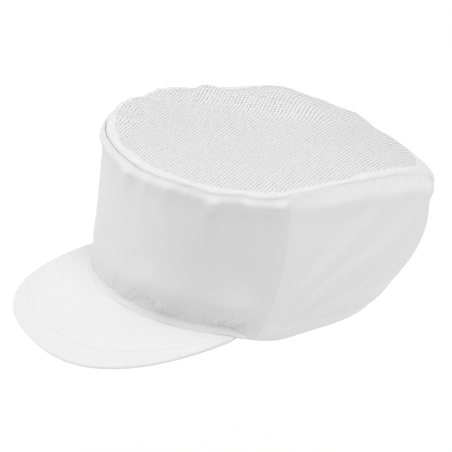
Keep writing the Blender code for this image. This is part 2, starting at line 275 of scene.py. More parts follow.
def smooth_wall(angle, up):
    """The wall before its folds: up 0 lies on the rim and 1 on the crown seam."""
    low = rim(angle)
    x, y = crown_plan(angle, np.ones(np.shape(angle)))
    high = points(x, y, seam_height(y) + seam_wave(angle))
    away = turned(angle)
    out = BALLOON * smooth(BALLOON_FROM, 165, away) * np.sin(np.pi * up**0.72)
    out = out + SIDE_BOW * np.sin(np.pi * np.minimum(1, up)) * smooth(SIDE_BOW_FROM, 90, away)
    return low + (high - low) * up[..., None] + wall_way(low) * out[..., None]


def front_folds(angle, up, height, run):
    """Soft shape of the tall front: gathers under the crown seam and above the trim strip."""
    from_top = height * (1 - up)
    from_rim = height * up
    out = 2.2 * bump(from_top, 4.5, 4.5)
    for at, rise, wide in SEAM_TUFTS:
        out = out + rise * bump(angle, at, wide) * bump(from_top, 5.5, 4.5)
        out = out + 0.5 * rise * bump(angle, at - 1.5, wide * 1.6) * bump(from_top, 14, 12)
    far = 0.35 + 0.65 * smooth(-15, -60, angle)
    puckers = np.sin(run / 11.5 * 2 * np.pi + 2.2 * wobble(run, 1, 30)) * (0.6 + 0.5 * wobble(run, 2, 18))
    out = out + 0.9 * far * puckers * bump(from_top, 3.5, 6)
    gather = np.sin(run / 4.3 * 2 * np.pi + 1.5 * wobble(run, 3, 12)) * (0.55 + 0.45 * wobble(run, 4, 15))
    near = smooth(-25, 0, angle)
    deep = 0.2 + near * sum(depth * bump(angle, at, wide) for at, depth, wide in GATHERS)
    rise = 17 + 4 * wobble(run, 7, 17)
    slant = wobble(run - 0.9 * from_rim, 8, 3.2)
    out = out + (0.3 + 0.9 * deep) * (0.35 * gather + 0.5 * slant) * bump(from_rim, rise - 5, 6)
    out = out + deep * (3.6 * bump(from_rim, rise + 7, 10) - 1.6 * bump(from_rim, rise - 8, 4.5))
    return out + 1.2 * bump(from_rim, 34, 12) * bump(angle, 40, 25)


def back_folds(angle, up, height, run):
    """Soft shape of the bagging back: a rolled shoulder and slanting drapes from the side seam's foot."""
    from_top = height * (1 - up)
    from_rim = height * up
    away = turned(angle)
    out = 2.6 * smooth(80, 100, away) * bump(from_top, 11, 7)
    slope = np.degrees(np.arctan2(from_rim - 2, run + 1e-6))
    reach = smooth(12, 60, run) * smooth(4, 22, from_top)
    for at, wide, rise in DRAPES:
        out = out + rise * reach * bump(slope, at + 4 * wobble(run, at, 60), wide)
    out = out + 0.9 * bump(from_rim, 5, 4) + 2.2 * smooth(105, 135, away) * bump(from_rim, 26, 16)
    gather = np.sin(run / 10.0 * 2 * np.pi + 1.8 * wobble(run, 5, 20)) * (0.5 + 0.5 * wobble(run, 6, 25))
    return out + 0.3 * gather * bump(from_rim, 8, 6) + 0.4 * gather * bump(from_top, 5, 5)


def lengths(rows):
    """Running length along each row and up each column of a grid of points, in mm."""
    steps = np.linalg.norm(np.diff(rows, axis=1), axis=-1)
    run = np.concatenate([np.zeros((len(rows), 1)), np.cumsum(steps, axis=1)], axis=1)
    steps = np.linalg.norm(np.diff(rows, axis=0), axis=-1)
    climb = np.concatenate([np.zeros((1, rows.shape[1])), np.cumsum(steps, axis=0)], axis=0)
    return run, climb


def cloth_uv(rows):
    """Flat places along the cloth (mm), with the middle column upright."""
    run, climb = lengths(rows)
    middle = rows.shape[1] // 2
    return np.stack([run - run[:, middle : middle + 1], climb], axis=-1)


def wall(angle, up):
    """The wall with its folds."""
    flat = smooth_wall(angle, up)
    top = smooth_wall(angle, np.ones(np.shape(up)))
    height = np.linalg.norm(top - rim(angle), axis=-1)
    away = turned(angle)
    front = 1 - smooth(-2.5, 2.5, away - side_seam(up))
    run = np.radians(angle) * (RIM_LONG + RIM_WIDE) / 2
    back_run = np.radians(away - SEAM_LOW) * (CROWN_BACK + CROWN_WIDE) / 2
    out = front * front_folds(angle, up, height, run)
    out = out + (1 - front) * back_folds(angle, up, height, np.maximum(back_run, 0))
    out = out - 0.25 * bump(away - side_seam(up), 0, 1.1)
    out = out * smooth(0, 0.03, 1 - up) * smooth(0, 0.05, up)
    return flat + wall_way(rim(angle)) * out[..., None]


def side_seam(up):
    """The side seam's angle at a height on the wall."""
    return SEAM_LOW + (SEAM_HIGH - SEAM_LOW) * (1 - (1 - up) ** 2)


def visor(along, out):
    """The visor's middle layer: along -1 to 1 across it, out 0 at the seam to 1 at the edge."""
    angle = along * VISOR_END
    base = rim(angle)
    base = base + wall_way(base) + [0, 0, VISOR_LIFT]
    depth = (1 - np.abs(along) ** VISOR_POWER) ** (1 / VISOR_ROUND)
    depth = depth * (1 + VISOR_NEAR * np.sin(np.pi * np.clip(along, 0, 1)))
    fan = np.sin(np.radians(angle)) * VISOR_FAN
    way = points(fan, -1.0, 0.0) / np.hypot(fan, 1)[..., None]
    point = base + way * (VISOR_LONG * depth * out)[..., None]
    edge_z = VISOR_EDGE_Z + VISOR_EDGE_ARCH * (1 - along**2) + 0.0388 * np.abs(point[..., 0]) * 0.6
    edge_z = base[..., 2] * (1 - depth) + np.maximum(edge_z, VISOR_LEAST_Z) * depth
    point[..., 2] = base[..., 2] + (edge_z - base[..., 2]) * (0.75 * out + 0.25 * out * out)
    return point


def shell(angle, up):
    """The hard insert's outer surface: up 0 lies on its edge and 1 at the top."""
    c, s = np.cos(np.radians(angle)), np.sin(np.radians(angle))
    edge = SHELL_EDGE + SHELL_EAR * s**4
    h = edge + (SHELL_HIGH - edge) * np.sin(up * np.pi / 2)
    size = np.maximum(0, 1 - (h / SHELL_HIGH) ** SHELL_RISE) ** (1 / SHELL_ROUND)
    x = size * SHELL_WIDE * power(s, SHELL_POWER)
    y = SHELL_MID - size * SHELL_LONG * power(c, SHELL_POWER)
    return points(x, y, rim_plane(y) + h)


def lifted(shape, a, b, off):
    """shape(a, b) moved off along the surface's outward normal."""
    across = shape(a + 0.5, b) - shape(a - 0.5, b)
    up = shape(a, np.minimum(1, b + 0.004)) - shape(a, np.maximum(0, b - 0.004))
    normal = np.cross(across, up)
    normal = normal / np.linalg.norm(normal, axis=-1, keepdims=True)
    return shape(a, b) + normal * np.asarray(off)[..., None]


# Meshes


def placed(rows):
    """Points in millimetres about the rim's centre, as metres in the frame."""
    return (rows + SHIFT) * MM


def grid_faces(rows, columns, ring):
    """The quads of a grid of points, closed round its rows for a ring."""
    i, j = np.meshgrid(np.arange(rows - 1), np.arange(columns if ring else columns - 1), indexing="ij")
    k = (j + 1) % columns
    corners = (i * columns + j, i * columns + k, (i + 1) * columns + k, (i + 1) * columns + j)
    return np.stack([c.ravel() for c in corners], axis=1)


def grid_mesh(name, rows, uv=None, ring=False, middle=None):
    """A mesh over a grid of points (mm), with a UV map in metres along the cloth."""
    count, columns = rows.shape[:2]
    verts = placed(rows.reshape(-1, 3))
    faces = grid_faces(count, columns, ring).tolist()
    if uv is None:
        uv = np.stack(lengths(rows), axis=-1)
    flat_uv = np.asarray(uv).reshape(-1, 2) * MM
    if middle is not None:
        last = (count - 1) * columns
        verts = np.vstack([verts, placed(np.asarray(middle)[None])])
        flat_uv = np.vstack([flat_uv, np.asarray(middle)[None, :2] * MM])
        faces += [(last + i, last + (i + 1) % columns, len(verts) - 1) for i in range(columns)]
    mesh = bpy.data.meshes.new(name)
    mesh.from_pydata(verts.tolist(), [], faces)
    layer = mesh.uv_layers.new(name="cloth")
    index = np.zeros(len(mesh.loops), np.int32)
    mesh.loops.foreach_get("vertex_index", index)
    layer.data.foreach_set("uv", flat_uv[index].ravel())
    mesh.shade_smooth()
    obj = bpy.data.objects.new(name, mesh)
    bpy.context.scene.collection.objects.link(obj)
    return obj


def thicken(obj, thick):
    """Gives the cloth its thickness, on the inner side."""
    solid = obj.modifiers.new("thickness", "SOLIDIFY")
    solid.thickness = thick * MM
    solid.offset = -1
    solid.use_even_offset = True
    crisp = obj.modifiers.new("crisp_edges", "EDGE_SPLIT")
    crisp.split_angle = math.radians(50)
    return obj


def finish_piece(obj, body, slot, look, *nodes):
    obj.data.materials.append(look)
    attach(obj, body)
    if nodes:
        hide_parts(*nodes)
    return obj


def spread(low, high, count):
    return np.linspace(low, high, count)


def stitches(name, path, up, long=2.3, gap=1.1, radius=0.2):
    """Short threads lying end to end along a path of points (mm)."""
    steps = np.linalg.norm(np.diff(path, axis=0), axis=1)
    run = np.concatenate([[0], np.cumsum(steps)])
    verts, faces = [], []
    sides = 6
    for start in np.arange(gap, run[-1] - long, long + gap):
        ends = [np.array([np.interp(s, run, path[:, k]) for k in range(3)]) for s in (start, start + long)]
        way = (ends[1] - ends[0]) / long
        lean = np.cross(way, up)
        lean /= np.linalg.norm(lean)
        rise = np.cross(lean, way)
        first = len(verts)
        for t, size in ((0, 0.35), (0.15, 0.9), (0.5, 1.1), (0.85, 0.9), (1, 0.35)):
            for k in range(sides):
                turn = 2 * math.pi * k / sides
                spot = ends[0] + (ends[1] - ends[0]) * t
                spot = spot + (lean * math.cos(turn) * 1.2 + rise * math.sin(turn)) * radius * size
                verts.append(placed(spot))
        for ring in range(4):
            for k in range(sides):
                a, b = first + ring * sides + k, first + ring * sides + (k + 1) % sides
                faces.append((a, b, b + sides, a + sides))
        faces.append([first + k for k in range(sides)][::-1])
        faces.append([first + 4 * sides + k for k in range(sides)])
    mesh = bpy.data.meshes.new(name)
    mesh.from_pydata([v.tolist() for v in verts], [], faces)
    mesh.shade_smooth()
    obj = bpy.data.objects.new(name, mesh)
    bpy.context.scene.collection.objects.link(obj)
    return obj


# Materials


def node(tree, kind, **values):
    made = tree.nodes.new(kind)
    for key, value in values.items():
        if hasattr(made, key):
            setattr(made, key, value)
        else:
            made.inputs[key.replace("_", " ")].default_value = value
    return made


def cloth_base(name, colour, rough, sheen=0.15):
    """A material, its node tree and its shader, with the cloth's soft sheen set."""
    made = bpy.data.materials.new(name)
    made.use_nodes = True
    tree = made.node_tree
    shader = tree.nodes["Principled BSDF"]
    shader.inputs["Base Color"].default_value = (*colour, 1)
    shader.inputs["Roughness"].default_value = rough
    shader.inputs["Specular IOR Level"].default_value = 0.25
    shader.inputs["Sheen Weight"].default_value = sheen
    shader.inputs["Sheen Roughness"].default_value = 0.5
    return made, tree, shader


def cloth_place(tree, turn=0.0, scale=(1.0, 1.0, 1.0), source="UV"):
    """Coordinates in millimetres along the cloth, turned and scaled."""
    coord = node(tree, "ShaderNodeTexCoord")
    mapping = node(tree, "ShaderNodeMapping", vector_type="POINT")
    mapping.inputs["Rotation"].default_value = (0, 0, math.radians(turn))
    mapping.inputs["Scale"].default_value = tuple(1000 * s for s in scale)
    tree.links.new(coord.outputs[source], mapping.inputs["Vector"])
    return mapping.outputs["Vector"]


def wave(tree, vector, pitch, direction="X", distortion=0.0, detail_scale=1.0):
    """Soft bands of one pitch in millimetres."""
    made = node(tree, "ShaderNodeTexWave", wave_type="BANDS", bands_direction=direction)
    made.inputs["Scale"].default_value = 2 * math.pi / (20 * pitch)
    made.inputs["Distortion"].default_value = distortion
    made.inputs["Detail"].default_value = 1.0
    made.inputs["Detail Scale"].default_value = detail_scale
    tree.links.new(vector, made.inputs["Vector"])
    return made.outputs["Fac"]


def math_node(tree, operation, a, b):
    made = node(tree, "ShaderNodeMath", operation=operation)
    for socket, value in zip(made.inputs, (a, b)):
        if isinstance(value, (int, float)):
            socket.default_value = value
        else:
            tree.links.new(value, socket)
    return made.outputs[0]


def shade(tree, shader, factor, dark, light, low=0.0, high=1.0):
    """Drives the base colour from a factor, between two greys."""
    ramp = node(tree, "ShaderNodeMapRange")
    ramp.inputs["From Min"].default_value = low
    ramp.inputs["From Max"].default_value = high
    tree.links.new(factor, ramp.inputs["Value"])
    mix = node(tree, "ShaderNodeMix", data_type="RGBA")
    mix.inputs["A"].default_value = (*dark, 1)
    mix.inputs["B"].default_value = (*light, 1)
    tree.links.new(ramp.outputs["Result"], mix.inputs["Factor"])
    tree.links.new(mix.outputs["Result"], shader.inputs["Base Color"])


def raise_bump(tree, shader, height, depth, strength=1.0):
    made = node(tree, "ShaderNodeBump")
    made.inputs["Strength"].default_value = strength
    made.inputs["Distance"].default_value = depth * MM
    tree.links.new(height, made.inputs["Height"])
    tree.links.new(made.outputs["Normal"], shader.inputs["Normal"])


def speckle(tree, vector, size, detail=2.0):
    made = node(tree, "ShaderNodeTexNoise")
    made.inputs["Scale"].default_value = 1 / size
    made.inputs["Detail"].default_value = detail
    tree.links.new(vector, made.inputs["Vector"])
    return made.outputs["Fac"]


def twill(name, pitch, dark, light):
    """White twill: slanting ribs crossed by a finer set of yarns, with uneven yarn thickness."""
    made, tree, shader = cloth_base(name, light, 0.85)
    ribs = wave(tree, cloth_place(tree, TWILL_ANGLE), pitch, "Y", 0.15, 0.3)
    yarns = wave(tree, cloth_place(tree, TWILL_ANGLE - 85), pitch * 0.55, "Y", 0.15, 0.3)
    uneven = speckle(tree, cloth_place(tree), 5.0)
    height = math_node(tree, "MULTIPLY", ribs, math_node(tree, "ADD", yarns, 1.2))
    height = math_node(tree, "ADD", height, math_node(tree, "MULTIPLY", uneven, 0.5))
    shade(tree, shader, height, dark, light, 0.2, 1.9)
    raise_bump(tree, shader, height, 0.07, 0.2)
    return made


def open_mesh():
    """Knit rows with real holes between them, offset from row to row; what is behind them shows through.
    The yarn's colour darkens towards the holes and between the rows: painted shade.
    """
    made, tree, shader = cloth_base("crown_mesh_cloth", WHITE, 0.8)
    rows = wave(tree, cloth_place(tree, -MESH_TURN, source="Object"), MESH_ROW, "X", 0.3, 0.35)
    lean = math.atan2(1 / MESH_CELL, 0.5 / MESH_ROW)
    diagonal = 1 / math.hypot(1 / MESH_CELL, 0.5 / MESH_ROW)
    bridges = None
    for turn in (math.degrees(lean), -math.degrees(lean)):
        place = cloth_place(tree, turn - MESH_TURN, source="Object")
        one = wave(tree, place, diagonal, "X", 0.3, 0.35)
        bridges = one if bridges is None else math_node(tree, "ADD", bridges, one)
    holes = math_node(tree, "ADD", rows, math_node(tree, "MULTIPLY", bridges, 0.85))
    height = math_node(tree, "SUBTRACT", 2.38, holes)
    uneven = speckle(tree, cloth_place(tree, source="Object"), 1.7, 1.0)
    height = math_node(tree, "ADD", height, math_node(tree, "MULTIPLY", uneven, 0.5))
    height = math_node(tree, "SUBTRACT", height, 0.25)
    # painted shade: the yarn's colour darkens from its crests down towards the holes and the dips between
    # rows
    shade(tree, shader, height, MESH_PAINTED_SHADE, MESH_LIGHT, 0.1, 1.4)
    raise_bump(tree, shader, height, 0.3, 0.6)
    closed = math_node(tree, "SUBTRACT", math_node(tree, "MULTIPLY", height, 4.0), 0.9)
    tree.links.new(node_clamp(tree, closed), shader.inputs["Alpha"])
    return made


def node_clamp(tree, value):
    made = node(tree, "ShaderNodeClamp")
    tree.links.new(value, made.inputs["Value"])
    return made.outputs[0]


def plain_weave(name, colour, pitch, depth=0.08, dark=0.92):
    """A fine even weave, for the visor cover, tapes and bindings."""
    made, tree, shader = cloth_base(name, colour, 0.85)
    warp = wave(tree, cloth_place(tree), pitch, "X", 0.2, 0.5)
    weft = wave(tree, cloth_place(tree), pitch, "Y", 0.2, 0.5)
    crossed = math_node(tree, "MULTIPLY", warp, weft)
    height = math_node(tree, "ADD", crossed, speckle(tree, cloth_place(tree), 6.0))
    shade(tree, shader, height, tuple(c * dark for c in colour), colour, 0.2, 1.4)
    raise_bump(tree, shader, height, depth, 0.4)
    return made


def ribbed(name, colour, pitch, depth):
    """Elastic webbing: ribs running round the head, crossed by fine picks."""
    made, tree, shader = cloth_base(name, colour, 0.8)
    ribs = wave(tree, cloth_place(tree), pitch, "Y")
    picks = wave(tree, cloth_place(tree), pitch * 0.45, "X")
    height = math_node(tree, "ADD", ribs, math_node(tree, "MULTIPLY", picks, 0.4))
    shade(tree, shader, height, tuple(c * 0.82 for c in colour), colour, 0.1, 1.3)
    raise_bump(tree, shader, height, depth, 0.7)
    return made


def moulded(name, colour, rough, grain):
    """Moulded plastic: a faint pebble grain and slight changes of gloss from handling."""
    made = bpy.data.materials.new(name)
    made.use_nodes = True
    tree = made.node_tree
    shader = tree.nodes["Principled BSDF"]
    shader.inputs["IOR"].default_value = 1.49
    place = cloth_place(tree, source="Object")
    pebble = speckle(tree, place, grain, 3.0)
    patches = speckle(tree, place, 22.0)
    shade(tree, shader, patches, tuple(c * 0.96 for c in colour), colour, 0.35, 0.65)
    gloss = node(tree, "ShaderNodeMapRange")
    gloss.inputs["To Min"].default_value = rough - 0.06
    gloss.inputs["To Max"].default_value = rough + 0.08
    tree.links.new(patches, gloss.inputs["Value"])
    tree.links.new(gloss.outputs["Result"], shader.inputs["Roughness"])
    raise_bump(tree, shader, pebble, 0.05, 0.35)
    return made


def foam_cloth():
    """Dark foam under a brushed knit: fine loops and lint-like variation."""
    made, tree, shader = cloth_base("pad_knit", FOAM_GREY, 0.9, 0.4)
    place = cloth_place(tree, source="Object")
    loops = speckle(tree, place, 0.7, 3.0)
    lint = speckle(tree, place, 7.0)
    shade(tree, shader, math_node(tree, "ADD", loops, lint), FOAM_DARK, FOAM_GREY, 0.7, 1.3)
    raise_bump(tree, shader, loops, 0.25, 0.7)
    return made


def pile(name, size, depth):
    """Hook or loop tape: a dense field of tiny tufts."""
    made, tree, shader = cloth_base(name, PILE_GREY, 0.9, 0.3)
    cells = node(tree, "ShaderNodeTexVoronoi")
    cells.inputs["Scale"].default_value = 1 / size
    tree.links.new(cloth_place(tree, source="Object"), cells.inputs["Vector"])
    shade(tree, shader, cells.outputs["Distance"], PILE_GREY, tuple(c * 0.6 for c in PILE_GREY), 0.1, 0.8)
    raise_bump(tree, shader, math_node(tree, "SUBTRACT", 1.0, cells.outputs["Distance"]), depth, 0.8)
    return made


# Cap


def front_panel(look):
    v, u = spread(-1, 1, 341), spread(0, 1, 91)
    up = np.repeat(u[:, None], len(v), axis=1)
    angle = v[None] * side_seam(up)
    uv = cloth_uv(smooth_wall(angle, up))
    panel = thicken(grid_mesh("front_panel_cloth", wall(angle, up), uv), CLOTH)
    finish_piece(panel, "cap", "twill", look, "front_panel")


def back_panel(look, side, sign):
    v, u = spread(0, 1, 241), spread(0, 1, 91)
    up = np.repeat(u[:, None], len(v), axis=1)
    start = side_seam(up)
    angle = sign * (start + v[None] * (180 - start))
    angle = angle[:, ::sign]
    uv = cloth_uv(smooth_wall(angle, up))
    panel = thicken(grid_mesh(f"back_panel_{side}_cloth", wall(angle, up), uv), CLOTH)
    finish_piece(panel, "cap", "twill", look, f"back_panel_{side}")


def crown_top(look):
    around = spread(-180, 180, 361)[:-1]
    share = np.concatenate([spread(0.955, 0.9, 12), spread(0.88, 0.03, 62)])
    a, r = np.meshgrid(around, share)
    rows = crown(a, r) + [0, 0, 0.6]
    middle = crown(np.array(0.0), np.array(0.0)) + [0, 0, 0.6]
    top = thicken(grid_mesh("crown_mesh_cloth", rows, rows[..., :2], True, middle), MESH_CLOTH)
    finish_piece(top, "cap", "mesh", look, "crown_mesh")


def seam_band(angle, across):
    """The bright strip inside the crown seam: across 0 lies against the wall, 1 on the mesh."""
    run = np.radians(angle) * CROWN_WIDE
    away = turned(angle)
    calm = 1 - smooth(CALM_FROM, 180, away)
    back = smooth(70, 110, away)
    lobe = bump(angle % 360, LOBE_AT, LOBE_WIDE)
    ragged = 1.3 * wobble(run, 11, 16) + 0.9 * wobble(run, 12, 5) + 0.7 * wobble(run, 16, 2.2)
    wide = STRIP_WIDE + 1.2 * back + 1.5 * lobe + ragged * calm
    rise = np.sin(np.pi * across**0.7)
    x, y = crown_plan(angle, 1.0)
    outward = -STRIP_INSET - wide * across + lobe * (LOBE_OUT * (1 - across) ** 2 + LOBE_ROLL * rise)
    share = 1 + outward / np.hypot(x, y - CROWN_MID - CROWN_SHIFT)
    band = crown(angle, share)
    join = (1 - across) ** 6
    seam_z = crown(angle, np.ones(np.shape(share)))[..., 2]
    swell = (0.7 + 0.7 * back + 2.2 * lobe + 0.6 * calm * wobble(run, 13, 7)) * rise
    drop = STRIP_TUCK * join + LOBE_DROP * lobe * (1 - across) ** 2.5
    band[..., 2] += join * (seam_z - band[..., 2]) + swell + STRIP_LIFT - drop
    return band


def crown_allowance(look):
    around = spread(-180, 180, 541)[:-1]
    a, across = np.meshgrid(around, spread(0, 1, 13))
    strip = thicken(grid_mesh("crown_allowance_cloth", seam_band(a, across), None, True), TAPE)
    finish_piece(strip, "cap", "tape", look, "crown_seam_allowance")


def front_trim(look):
    """The narrow strip over the visor seam, sloping out onto the visor and narrowing at its ends."""
    a, t = np.meshgrid(spread(-TRIM_END, TRIM_END, 241), spread(0, 1, 9))
    tall = TRIM_TALL * (1 - 0.8 * smooth(60, TRIM_END, np.abs(a)))
    rows = lifted(wall, a, TRIM_LOW + tall * t, 0.35 + TRIM_SLOPE * (1 - t) ** 1.5)
    trim = thicken(grid_mesh("front_trim_cloth", rows), TRIM)
    finish_piece(trim, "cap", "tape", look, "front_trim_strip")


def visor_layer(name, slot, look, node_name, thick, top, wide, outs, drops=0.0):
    """One layer of the visor: its top height, its share of the width, its rows, and each row's drop."""
    along = wide * np.sin(spread(-1, 1, 161) * np.pi / 2)
    a, out = np.meshgrid(along, outs)
    rows = visor(a, out)
    rows[..., 2] += top - np.broadcast_to(drops, outs.shape)[:, None]
    layer = thicken(grid_mesh(name, rows[::-1]), thick)
    finish_piece(layer, "cap", slot, look, node_name)


def visor_layers(cover, board):
    """Two cloth covers over a thin stiffener; the upper one turns down over the edge."""
    turned_outs = np.concatenate([[-0.02], spread(0, 0.985, 40), [0.997, 1.004, 1.007, 1.005]])
    turned_drops = np.concatenate([np.zeros(41), [0.1, 0.4, 0.9, 1.5]])
    visor_layer(
        "visor_top_cloth", "visor_cloth", cover, "visor_top_cover",
        COVER, BOARD / 2 + GAP + COVER, 0.99, turned_outs, turned_drops,
    )
    visor_layer(
        "visor_stiffener", "board", board, "visor_board",
        BOARD, BOARD / 2, 0.95, spread(0, 0.96, 41),
    )
    visor_layer(
        "visor_bottom_cloth", "visor_cloth", cover, "visor_bottom_cover",
        COVER, -BOARD / 2 - GAP, 0.985, spread(0, 0.99, 41),
    )


def visor_stitches(look):
    """One row of stitches, set in from the visor's edge."""
    along = spread(-0.8, 0.9, 240)
    out = VISOR_STITCH - 0.12 * along - 0.25 * np.maximum(0, along) ** 3
    path = visor(along, out) + [0, 0, BOARD / 2 + GAP + COVER]
    row = stitches("visor_stitches", path, np.array([0, 0, 1.0]), 2.4, 0.7, 0.11)
    finish_piece(row, "cap", "visor_cloth", look)


def wall_stitches(name, look, low, high, up, off):
    """A row of stitches on the wall."""
    angles = spread(low, high, 300)
    path = lifted(wall, angles, np.full(angles.shape, up), off)
    row = stitches(name, path, np.array([0, 0, 1.0]), 2.0, 1.0, 0.17)
    finish_piece(row, "cap", "tape", look)


def wall_sheet(name, angles, ups, off, thick, look, slot, node_name):
    """A strip of cloth lying against the wall."""
    a, u = np.meshgrid(angles, ups)
    piece = thicken(grid_mesh(name, lifted(wall, a, u, off)), thick)
    finish_piece(piece, "cap", slot, look, node_name)


def inner_linings(tape, elastic):
    """The front hem's facing, the tapes over the wall seams, and the back's elastic in its casing."""
    inner = -(CLOTH + GAP)
    wall_sheet(
        "front_facing_cloth", spread(-69.5, 69.5, 181), spread(0.005, 0.14, 13), inner, TAPE,
        tape, "tape", "front_hem_facing",
    )
    for side, sign in (("left", 1), ("right", -1)):
        up, across = np.meshgrid(spread(0.17, 0.95, 61), spread(-2.6, 2.6, 7), indexing="ij")
        rows = lifted(wall, sign * side_seam(up) + across, up, inner)
        piece = thicken(grid_mesh(f"side_tape_{side}_cloth", rows), TAPE)
        finish_piece(piece, "cap", "tape", tape, f"side_seam_tape_{side}")
    wall_sheet(
        "back_tape_cloth", spread(178, 182, 7), spread(0.2, 0.94, 61), inner, TAPE,
        tape, "tape", "back_seam_tape",
    )
    a, z = np.meshgrid(spread(72, 288, 361), spread(0, 1, 9))
    run = np.radians(a) * CROWN_WIDE
    ruffle = 0.35 * np.sin(run / 5.5 * 2 * np.pi + 1.5 * wobble(run, 31, 14))
    for name, inset, low, high, thick, look, slot, node_name in (
        ("back_elastic_band", CLOTH + 0.8, 2.5, 10.5, 0.8, elastic, "elastic", "back_elastic"),
        ("back_casing_cloth", CLOTH + 2.1, 0.4, 12.0, TAPE, tape, "tape", "back_casing"),
    ):
        rows = rim(a, inset) + points(0, 0, 1) * (low + (high - low) * z)[..., None]
        rows = rows + wall_way(rim(a)) * (ruffle * np.sin(np.pi * z))[..., None]
        piece = thicken(grid_mesh(name, rows), thick)
        finish_piece(piece, "cap", slot, look, node_name)


def closed_pad(name, sections):
    """A closed form from rings of points (mm), with its two ends filled."""
    obj = grid_mesh(name, sections, ring=True)
    obj.data.uv_layers.remove(obj.data.uv_layers["cloth"])
    count, columns = sections.shape[:2]
    verts = [v.co[:] for v in obj.data.vertices]
    faces = [tuple(p.vertices) for p in obj.data.polygons]
    faces += [tuple(range(columns))[::-1], tuple(range((count - 1) * columns, count * columns))]
    mesh = bpy.data.meshes.new(name)
    mesh.from_pydata(verts, [], faces)
    mesh.shade_smooth()
    obj.data = mesh
    return obj


def shell_pad(name, look, slot, node_name, body, shape, turns, ups, under, thick, channels=()):
    """A padded strip against the inside (or outside) of a curved surface, thin at its sewn edge."""
    along = spread(0, 1, 121)
    across = np.concatenate([spread(0, 1, 15), spread(1, 0, 15)])
    front = np.concatenate([np.zeros(15), np.ones(15)])
    t, v = np.meshgrid(along, across, indexing="ij")
    face = np.broadcast_to(front, t.shape)
    # rounded corners: the strip narrows over its last few millimetres
    narrow = 0.5 + (v - 0.5) * (1 - 0.28 * (2 * np.abs(t - 0.5)) ** 24)
    angle = turns[0] + (turns[1] - turns[0]) * t
    up = ups[0] + (ups[1] - ups[0]) * narrow
    crest = (1 - np.abs(2 * v - 1) ** 4) ** 0.5 * (1 - np.abs(2 * t - 1) ** 30) ** 0.5
    for at in channels:
        crest = crest * (1 - 0.5 * bump(angle, at, 1.3))
    depth = PAD_EDGE + (thick - PAD_EDGE) * crest
    rows = lifted(shape, angle, up, -under)
    inner = lifted(shape, angle, up, -under - depth)
    piece = closed_pad(name, np.where(face[..., None] > 0.5, inner, rows))
    return finish_piece(piece, body, slot, look, node_name)


def slot_cutter(x, y):
    """A tall bar with rounded ends, to cut one vent slot through the dome."""
    turn = np.radians(spread(0, 360, 49)[:-1])
    end = (SLOT_LONG - SLOT_WIDE) / 2
    across = x + SLOT_WIDE / 2 * np.cos(turn)
    along = y + SLOT_WIDE / 2 * np.sin(turn) + end * np.sign(np.sin(turn))
    low, high = 45.0, 135.0
    return closed_pad("slot_cutter", np.stack([points(across, along, low), points(across, along, high)]))


def smooth_shell(look):
    """The hard insert's dome, finer than the frame's own, with the same vent slots."""
    a, u = np.meshgrid(spread(-180, 180, 193)[:-1], spread(0, 0.99, 60))
    body = grid_mesh("impact_shell_dome", shell(a, u), None, True, shell(np.array(0.0), np.array(1.0)))
    solid = body.modifiers.new("thickness", "SOLIDIFY")
    solid.thickness = SHELL_WALL * MM
    solid.offset = -1
    cutters = [slot_cutter(x, y) for x, y in SLOTS_AT]
    for cutter in cutters:
        cut = body.modifiers.new("slot", "BOOLEAN")
        cut.operation, cut.solver, cut.object = "DIFFERENCE", "EXACT", cutter
    made = body.evaluated_get(bpy.context.evaluated_depsgraph_get())
    mesh = bpy.data.meshes.new_from_object(made)
    mesh.set_sharp_from_angle(angle=math.radians(40))
    body.modifiers.clear()
    body.data = mesh
    for cutter in cutters:
        bpy.data.objects.remove(cutter)
    body.data.materials.clear()
    finish_piece(body, "insert", "shell", look, "impact_shell")


def foam_pads(look):
    under = SHELL_WALL + 2 * GAP
    for name, turns, ups, thick, channels in (
        ("brow_pad", (-62, 62), (0.01, 0.24), 4.0, (-38, -14, 14, 38)),
        ("side_pad_left", (72, 118), (0.04, 0.3), 5.0, ()),
        ("side_pad_right", (-118, -72), (0.04, 0.3), 5.0, ()),
        ("rear_pad", (140, 220), (0.01, 0.24), 4.0, (160, 180, 200)),
    ):
        args = ("insert", shell, turns, ups, under, thick, channels)
        pad = shell_pad(f"{name}_cushion", look, "foam", name, *args)


def crown_cushion(look):
    """The thick pad under the dome, with a sewn edge and a dimple in its middle."""
    reach = np.concatenate([spread(0.05, 1, 20), spread(1, 0.05, 20)])
    a, r = np.meshgrid(spread(-180, 180, 97)[:-1], reach)
    lower = np.repeat(np.array([0.0] * 20 + [1.0] * 20)[:, None], a.shape[1], axis=1)
    wide, long, square = 26.0, 30.0, 2.6
    x = wide * r * power(np.sin(np.radians(a)), square)
    y = SHELL_MID - long * r * power(np.cos(np.radians(a)), square)
    size = np.hypot(x / SHELL_WIDE, (y - SHELL_MID) / SHELL_LONG)
    dome = SHELL_HIGH * (1 - size**SHELL_ROUND) ** (1 / SHELL_RISE)
    top = rim_plane(y) + dome - SHELL_WALL - 1.0
    depth = 1.0 + 7.0 * (1 - r**5) ** 0.5 * (1 - 0.35 * bump(r, 0, 0.18))
    piece = closed_pad("crown_cushion", points(x, y, top - lower * depth))
    finish_piece(piece, "insert", "foam", look, "crown_pad")


def patches(hooks, loops):
    """Hook tape outside the shell and loop tape inside the cap, facing each other."""
    for side, sign in (("left", 1), ("right", -1)):
        turns = (46, 62) if sign > 0 else (-62, -46)
        name = f"hook_patch_{side}"
        args = ("hook_loop", name, "insert", shell, turns, (0.12, 0.25), -(GAP + HOOK_THICK), HOOK_THICK)
        pad = shell_pad(f"{name}_tape", hooks, *args)
        name = f"loop_patch_{side}"
        args = ("hook_loop", name, "cap", smooth_wall, turns, (0.17, 0.33), CLOTH + GAP, LOOP_THICK)
        pad = shell_pad(f"{name}_tape", loops, *args)


